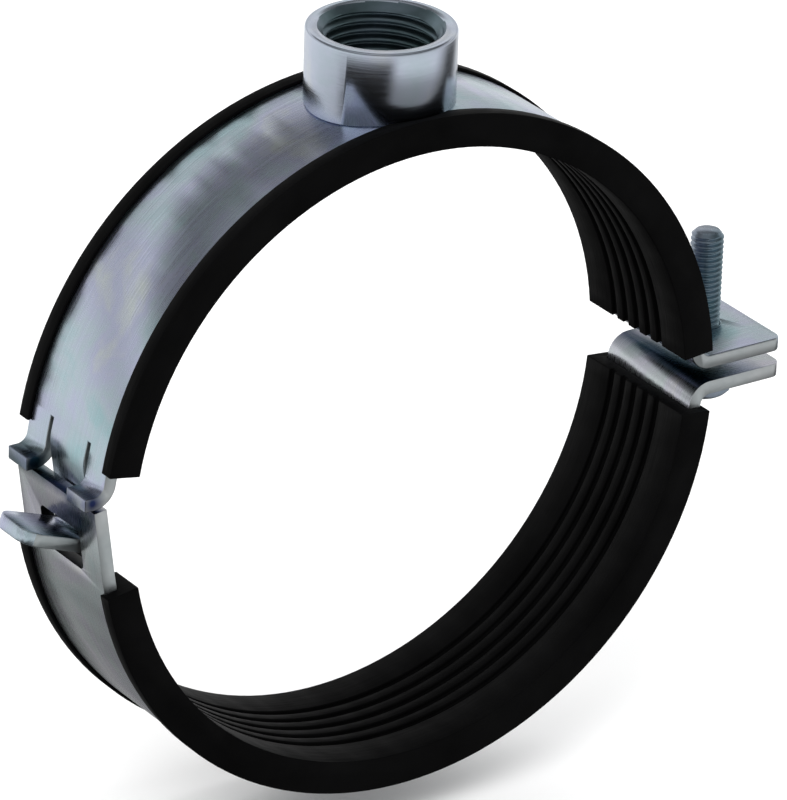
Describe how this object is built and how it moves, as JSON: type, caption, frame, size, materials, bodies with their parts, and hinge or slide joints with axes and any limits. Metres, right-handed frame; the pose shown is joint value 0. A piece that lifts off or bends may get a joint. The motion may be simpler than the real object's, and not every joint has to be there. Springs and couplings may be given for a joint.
{
  "type": "rubber lined pipe clamp",
  "caption": "Two-part steel pipe clamp with a ribbed rubber liner, a threaded boss on top, a hook joint at one side and a closing screw at the other.",
  "frame": {"origin": "centre of the pipe seat, midway along the liner's width", "axes": "+Y along the pipe, +Z out of the boss's mouth, +X towards the closing screw"},
  "size_m": [0.1534, 0.0294, 0.1386],
  "materials": {
    "band_steel": "zinc plated, satin",
    "boss_steel": "zinc plated, turned",
    "screw_steel": "zinc plated",
    "rubber": "matt black"
  },
  "bodies": {
    "upper_half": {"upper_band": "band_steel", "boss": "boss_steel", "upper_rubber": "rubber"},
    "lower_half": {"lower_band": "band_steel", "lower_rubber": "rubber"},
    "washer": {"captive_washer": "screw_steel"},
    "screw": {"closing_screw": "screw_steel"}
  },
  "joints": [
    {"name": "washer_travel", "type": "slide", "parent": "upper_half", "child": "washer", "axis": [0, 0, -1], "range_m": [0, 0.016]},
    {"name": "screw_turn", "type": "hinge", "parent": "washer", "child": "screw", "pos_m": [0.0715, 0, -0.0038], "axis": [0, 0, -1], "range_deg": [0, 5760]},
    {"name": "lower_half_swing", "type": "hinge", "parent": "upper_half", "child": "lower_half", "pos_m": [-0.06261, 0, 0.0043], "axis": [0, 1, 0], "range_deg": [0, 6.47]}
  ],
  "couplings": [
    {"joint": "washer_travel", "follows": "lower_half_swing", "m_per_rad": 0.1415},
    {"joint": "screw_turn", "follows": "lower_half_swing", "ratio": 889.07}
  ]
}
